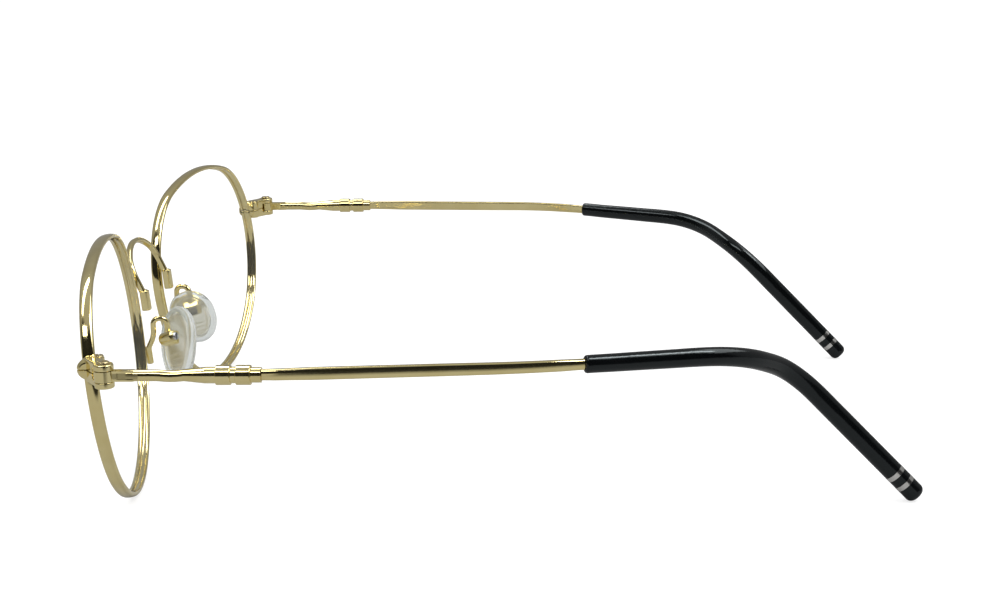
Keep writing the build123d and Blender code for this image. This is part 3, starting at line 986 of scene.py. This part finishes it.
@dataclass
class CrownedRim:
    """An eyewire with slightly crowned faces, rounded lips and the groove that holds the lens.

    Its lengths are in millimetres.
    """

    side: Side
    centre: Point = (35.0233, -59.0643, 22.476)
    wrap: float = 7.5
    tilt: float = 5.2
    half_width: float = 26.5
    heights: Pair = (16.9215, 21.9785)
    roundness: Pair = (0.92, 0.89)
    slot_level: float = 26.976
    slot_half: float = 0.06
    slot_steps: int = 2
    steps: int = 300
    section: Tuple[Pair, ...] = (
        (0.53, 0.0), (0.5255, 0.15), (0.511, 0.3), (0.486, 0.45), (0.45, 0.58), (0.4, 0.7),
        (0.33, 0.805), (0.24, 0.885), (0.13, 0.935), (0.0, 0.95), (-0.12, 0.935), (-0.215, 0.885),
        (-0.28, 0.8), (-0.31, 0.68), (-0.32, 0.54), (-0.32, 0.43), (-0.312, 0.365),
        (-0.285, 0.34), (0.0, 0.34), (0.03, 0.31),
    )

    def outline(self) -> List[Pair]:
        """Both halves of the wire's section, each point as how far out and how deep it is."""
        return [*self.section, *((out, -deep) for out, deep in reversed(self.section[1:]))]

    def spot(self, turn: float, out: float, deep: float) -> Vector:
        """Find a point of the wire.

        Args:
            turn: angle that the wire's outer face looks along, in radians.
            out: how far outside the lens.
            deep: how far before the middle of the wire.

        Returns:
            The point, in the frame.
        """
        c, s = math.cos(turn), math.sin(turn)
        way = 1 if s >= 0 else -1
        height, share = (pair[0 if way > 0 else 1] for pair in (self.heights, self.roundness))
        shoulder = height * share
        spread = self.half_width - shoulder
        reach = self.half_width**2 + height**2 - 2 * self.half_width * shoulder
        arch = reach / (2 * (height - shoulder))
        if abs(c) <= math.sin(math.atan2(spread, arch - height)):
            x, y, radius = 0.0, way * (height - arch), arch
        else:
            x, y, radius = math.copysign(spread, c), 0.0, shoulder
        wrap, tilt = math.radians(self.wrap), math.radians(self.tilt)
        across = Vector((math.cos(wrap), math.sin(wrap), 0))
        level = Vector((math.sin(wrap), -math.cos(wrap), 0)) * math.cos(tilt)
        ahead = level - Vector((0, 0, math.sin(tilt)))
        point = Vector(self.centre) + across * (x + (radius + out) * c)
        point = point + ahead.cross(across) * (y + (radius + out) * s) + ahead * deep
        return self.side.mirrored(point * MM)

    def slot_turn(self, out: float, deep: float, above: float) -> float:
        """Angle at which a line of the wire meets the closing slot.

        Args:
            out: how far outside the lens the line runs.
            deep: how far before the middle of the wire.
            above: how far above the slot's middle.

        Returns:
            The angle in radians.
        """
        tilt = math.radians(self.tilt)
        rise = self.slot_level + above - self.centre[2] + deep * math.sin(tilt)
        return math.asin(rise / ((self.heights[0] * self.roundness[0] + out) * math.cos(tilt)))

    def dress(self, finishes: FinishSet) -> None:
        """Build the rim and let it stand for the CAD rim.

        Args:
            finishes: the finishes by slot.
        """
        piece = Piece(self.side.node("crowned_rim"), Body.FRONT, "gold_frame")
        outline = self.outline()
        start, end = (
            [self.slot_turn(out, deep, above) for out, deep in outline]
            for above in (self.slot_half, -self.slot_half)
        )
        rings = [[self.spot(turn, *point) for turn, point in zip(start, outline)]]
        middle = self.slot_turn(0.0, 0.0, 0.0)
        for i in range(self.slot_steps, self.steps - self.slot_steps + 1):
            turn = middle + math.tau * i / self.steps
            rings.append([self.spot(turn, *point) for point in outline])
        rings.append([self.spot(turn, *point) for turn, point in zip(end, outline)])
        piece.loft(rings)
        rim = piece.build(finishes["gold_frame"])
        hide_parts(self.side.node("rim"))


@dataclass
class PolishedCasting:
    """A small cast part whose edges have been softened by polishing, made from its CAD node."""

    node: str
    slot: str
    grid: float = 0.065 * MM
    rounds: int = 14
    softness: float = 0.5
    kept_share: float = 0.35

    def shape(self, source: bpy.types.Object) -> bpy.types.Mesh:
        """Soften every edge of a node's own mesh.

        Args:
            source: the CAD node.

        Returns:
            The softened mesh.
        """
        blank = show(self.node + "_blank", source.data.copy())
        cells = blank.modifiers.new("cells", "REMESH")
        cells.mode = "VOXEL"
        cells.voxel_size = self.grid
        polish = blank.modifiers.new("polish", "SMOOTH")
        polish.factor = self.softness
        polish.iterations = self.rounds
        thin = blank.modifiers.new("thin", "DECIMATE")
        thin.ratio = self.kept_share
        ready = bpy.context.evaluated_depsgraph_get()
        mesh = bpy.data.meshes.new_from_object(blank.evaluated_get(ready))
        bpy.data.objects.remove(blank)
        mesh.name = self.node + "_polished"
        mesh.polygons.foreach_set("use_smooth", [True] * len(mesh.polygons))
        return mesh

    def dress(self, loaded: Dict[str, object], finishes: FinishSet) -> None:
        """Build the casting and let it stand for its CAD node.

        Args:
            loaded: the frame that was loaded.
            finishes: the finishes by slot.
        """
        mesh = self.shape(loaded["nodes"][self.node])
        mesh.materials.clear()
        mesh.materials.append(finishes[self.slot])
        piece = show(self.node + "_polished", mesh)
        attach(piece, Body.FRONT.value)
        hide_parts(self.node)
        LOG.info("polished %s to %d faces", self.node, len(mesh.polygons))


@dataclass
class BrazedJoints:
    """Crimps over a bridge barrel and the braze at a pad arm's foot, in millimetres."""

    side: Side
    steps: int = 20
    stations: Tuple[float, ...] = (-0.98, -0.86, -0.6, -0.25, 0.1, 0.45, 0.75, 0.93, 0.99)
    fall: float = 0.18
    crimp_middles: Tuple[Point, ...] = ((8.45, -61.32, 25.88), (8.45, -60.54, 25.88))
    crimp_sizes: Point = (0.52, 0.3, 0.24)
    foot_middle: Point = (9.3, -60.45, 14.8)
    foot_way: Point = (0.0, -0.09, 1.0)
    foot_sizes: Point = (1.35, 0.34, 0.42)

    def bead(self, name: str, middle: Point, long: Vector, wide: Vector, sizes: Point) -> Piece:
        """Shape a rounded bead, fuller below than above.

        Args:
            name: name of the piece.
            middle: its middle in the frame, in millimetres.
            long: direction of its length.
            wide: direction of its width.
            sizes: half of its length, width and depth, in millimetres.

        Returns:
            The piece.
        """
        piece = Piece(self.side.node(name), Body.FRONT, "gold_frame")
        length, width, depth = (size * MM for size in sizes)
        deep = long.cross(wide).normalized()
        rings = []
        for share in self.stations:
            girth = math.sqrt(1 - share**2) * (1.0 - self.fall * share)
            ring = []
            for k in range(self.steps):
                turn = math.tau * k / self.steps
                spot = Vector(middle) * MM + long * length * share
                spot = spot + wide * width * girth * math.cos(turn)
                ring.append(self.side.mirrored(spot + deep * depth * girth * math.sin(turn)))
            rings.append(ring)
        piece.loft(rings)
        return piece

    def dress(self, finishes: FinishSet) -> None:
        """Build the beads.

        Args:
            finishes: the finishes by slot.
        """
        across, back = Vector((1, 0, 0)), Vector((0, 1, 0))
        up = Vector(self.foot_way).normalized()
        beads = [
            self.bead(f"barrel_crimp_{number}", middle, across, back, self.crimp_sizes)
            for number, middle in enumerate(self.crimp_middles, 1)
        ]
        beads.append(self.bead("foot_braze", self.foot_middle, up, across, self.foot_sizes))
        for bead in beads:
            bead.build(finishes["gold_frame"])


@dataclass
class PhotoCamera:
    """The camera, where the photograph was taken from (place, lens and sensor in millimetres)."""

    position: Point = (303.027, 13.397, 92.798)
    forward: Point = (-0.97268389, -0.04568458, -0.22759387)
    right: Point = (-0.043044, 0.99893601, -0.01655475)
    up: Point = (-0.22810801, 0.00630599, 0.97361541)
    lens: float = 64.786
    sensor: float = 36.0
    nearest: float = 0.01

    def set_up(self) -> None:
        """Place the camera and make it the scene's own."""
        data = bpy.data.cameras.new("photo_camera")
        data.lens = self.lens
        data.sensor_width = self.sensor
        data.clip_start = self.nearest
        camera = show("photo_camera", data)
        turn = turned((Vector(self.right), Vector(self.up), -Vector(self.forward))).to_4x4()
        camera.matrix_world = Matrix.Translation(Vector(self.position) * MM) @ turn
        bpy.context.scene.camera = camera


@dataclass(frozen=True)
class Softbox:
    """A rectangular light that looks at the glasses, with its long side along a level line."""

    name: str
    position: Point
    long_way: Point
    width: float
    height: float
    power: float

    def hang(self) -> None:
        """Hang it in the scene."""
        data = bpy.data.lights.new(self.name, "AREA")
        data.shape = "RECTANGLE"
        data.size = self.width
        data.size_y = self.height
        data.energy = self.power
        lamp = show(self.name, data)
        lamp.location = self.position
        away = Vector(self.position).normalized()
        along = Vector(self.long_way)
        along = (along - away * along.dot(away)).normalized()
        lamp.rotation_euler = turned((along, away.cross(along), away)).to_euler()


@dataclass
class Studio:
    """A white sweep under softboxes, in a room that is dark where the photographer stands."""

    floor_radius: float = 4.0
    floor_steps: int = 96
    floor_drop: float = 0.00003
    paint_tone: float = 0.98
    glow_share: float = 0.7
    room_tone: float = 0.27
    dark_tone: float = 0.015
    floor_tone: float = 0.26
    dark_floor: Tuple[Pair, ...] = ((0.12, 0.19), (-0.05, -0.02))
    dark_side: Pair = (0.2, 0.4)
    dark_top: Pair = (0.8, 0.9)
    ceiling: Pair = (0.4, 0.95)
    ceiling_share: float = 0.22
    through_share: float = 0.45
    softboxes: Tuple[Softbox, ...] = (
        Softbox("overhead_strip", (-0.2, -0.46, 1.145), (0.87, -0.42, 0.0), 1.25, 0.24, 5.5),
        Softbox("camera_side_strip", (0.71, -0.4, 0.948), (0.0, 1.0, 0.0), 0.62, 0.22, 2.3),
        Softbox("rear_strip", (0.25, 0.625, 1.05), (0.0, 1.0, 0.0), 0.45, 0.2, 3.4),
        Softbox("rear_panel", (0.04, 0.95, 1.15), (0.0, 1.0, 0.0), 0.8, 1.3, 9.0),
    )

    def set_up(self) -> None:
        """Build the floor, the lights and the room."""
        self.lay_floor()
        for softbox in self.softboxes:
            softbox.hang()
        self.light_room()
        bpy.context.scene.view_settings.view_transform = "Standard"

    def lay_floor(self) -> None:
        """Lay a large round floor in matt white paint, darker in what the metal mirrors."""
        mesh = bpy.data.meshes.new("floor")
        skin = bmesh.new()
        bmesh.ops.create_circle(
            skin, cap_ends=True, radius=self.floor_radius, segments=self.floor_steps
        )
        skin.to_mesh(mesh)
        skin.free()
        floor = show("floor", mesh)
        floor.location.z = -self.floor_drop
        material = bpy.data.materials.new("floor_paint")
        material.use_nodes = True
        sheet = NodeSheet(material.node_tree)
        axes = sheet.axes()
        away, aside = (
            sheet.spread(axes.outputs[axis], *edges) for axis, edges in zip("XY", self.dark_floor)
        )
        dark = sheet.math("MULTIPLY", away, aside)
        tone = sheet.blend(dark, grey(self.floor_tone), grey(self.dark_tone))
        mirrored = sheet.add("BsdfDiffuse", "what the metal mirrors")
        sheet.put(mirrored, Color=tone)
        paint = sheet.add("BsdfDiffuse", "paint")
        sheet.put(paint, Color=grey(self.paint_tone))
        glow = sheet.add("Emission", "white of the lit sweep")
        seen = self.mix(sheet, self.glow_share, paint, glow)
        seen.label = "what is seen and gives light"
        self.by_ray(sheet, seen, mirrored, "OutputMaterial")
        mesh.materials.append(material)

    @staticmethod
    def mix(
        sheet: NodeSheet, share: object, first: bpy.types.Node, second: bpy.types.Node
    ) -> bpy.types.Node:
        """Mix two shaders.

        Args:
            sheet: the sheet that holds them.
            share: how much of the second, a number or socket.
            first: one shader.
            second: the other.

        Returns:
            The mixing node.
        """
        both = sheet.add("MixShader")
        for socket, value in zip(both.inputs, (share, first.outputs[0], second.outputs[0])):
            sheet.feed(socket, value)
        return both

    def by_ray(
        self, sheet: NodeSheet, seen: bpy.types.Node, mirrored: bpy.types.Node, output: str
    ) -> None:
        """Show one shader in what metal mirrors and the other to all else.

        Args:
            sheet: the sheet that holds them.
            seen: the shader for sight and light.
            mirrored: the shader for mirrored rays, weaker once they are inside a clear pad.
            output: the kind of node that ends the sheet.
        """
        ray = sheet.add("LightPath")
        clear = sheet.math("MULTIPLY", ray.outputs["Is Transmission Ray"], self.through_share)
        through = sheet.math("SUBTRACT", 1.0, clear)
        share = sheet.math("MULTIPLY", ray.outputs["Is Glossy Ray"], through)
        both = self.mix(sheet, share, seen, mirrored)
        sheet.put(sheet.add(output), Surface=both.outputs[0])

    def light_room(self) -> None:
        """Light the room: white for the eye and the paint, toned for what the metal mirrors."""
        world = bpy.data.worlds.new("room")
        world.use_nodes = True
        bpy.context.scene.world = world
        sheet = NodeSheet(world.node_tree)
        axes = sheet.axes("Generated")
        toward = sheet.spread(axes.outputs["X"], *self.dark_side)
        low = sheet.spread(axes.outputs["Z"], *self.dark_top, 1.0, 0.0)
        dark = sheet.math("MULTIPLY", toward, low)
        high = sheet.spread(axes.outputs["Z"], *self.ceiling, 0.0, self.ceiling_share)
        above = sheet.blend(high, grey(self.room_tone), grey(1.0))
        mirrored = sheet.add("Background", "what the metal mirrors")
        sheet.put(mirrored, Color=sheet.blend(dark, above, grey(self.dark_tone)), Strength=1.0)
        seen = sheet.add("Background", "what is seen and gives light")
        sheet.put(seen, Color=grey(1.0), Strength=1.0)
        self.by_ray(sheet, seen, mirrored, "OutputWorld")


class CadDresser:
    """Gives every CAD node the material of its slot, and the temples' leaves their milled one."""

    def __init__(self, loaded: Dict[str, object], finishes: FinishSet) -> None:
        """Remember the frame.

        Args:
            loaded: the frame that was loaded.
            finishes: the finishes by slot.
        """
        self.nodes = loaded["nodes"]
        parts = loaded["record"]["subparts"]
        self.slots = {part["node"]: part["material_slot"] for part in parts}
        self.finishes = finishes

    def dress(self) -> None:
        """Dress each node and report it."""
        for name, node in sorted(self.nodes.items()):
            slot = "gold_leaf" if name.startswith("temple_front") else self.slots[name]
            for holder in [node] + list(node.children):
                if holder.type == "MESH":
                    holder.data.materials.clear()
                    holder.data.materials.append(self.finishes[slot])
            LOG.info("dressed %s in %s", name, slot)


def main() -> None:
    """Build the looks of the glasses, piece by piece."""
    logging.basicConfig(level=logging.INFO, format="%(name)s: %(message)s")
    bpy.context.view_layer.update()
    finishes = FinishSet(SharedEffects())
    CadDresser(frame, finishes).dress()
    pads = (
        NosePad(Side.LEFT, (7.0 * MM, -55.564 * MM, 16.876 * MM), toe=37.0, splay=27.0),
        NosePad(Side.RIGHT, (7.0 * MM, -56.164 * MM, 17.776 * MM), toe=17.0, splay=36.0),
    )
    for pad in pads:
        pad.dress(finishes)
    for side in Side:
        CrownedRim(side).dress(finishes)
        BrazedJoints(side).dress(finishes)
        CrownedBar(side).dress(finishes)
        for stem in ("lock_upper", "lock_lower", "bridge_barrel", "pad_box"):
            PolishedCasting(side.node(stem), "gold_frame").dress(frame, finishes)
    Studio().set_up()
    PhotoCamera().set_up()


if __name__ == "__main__":
    main()
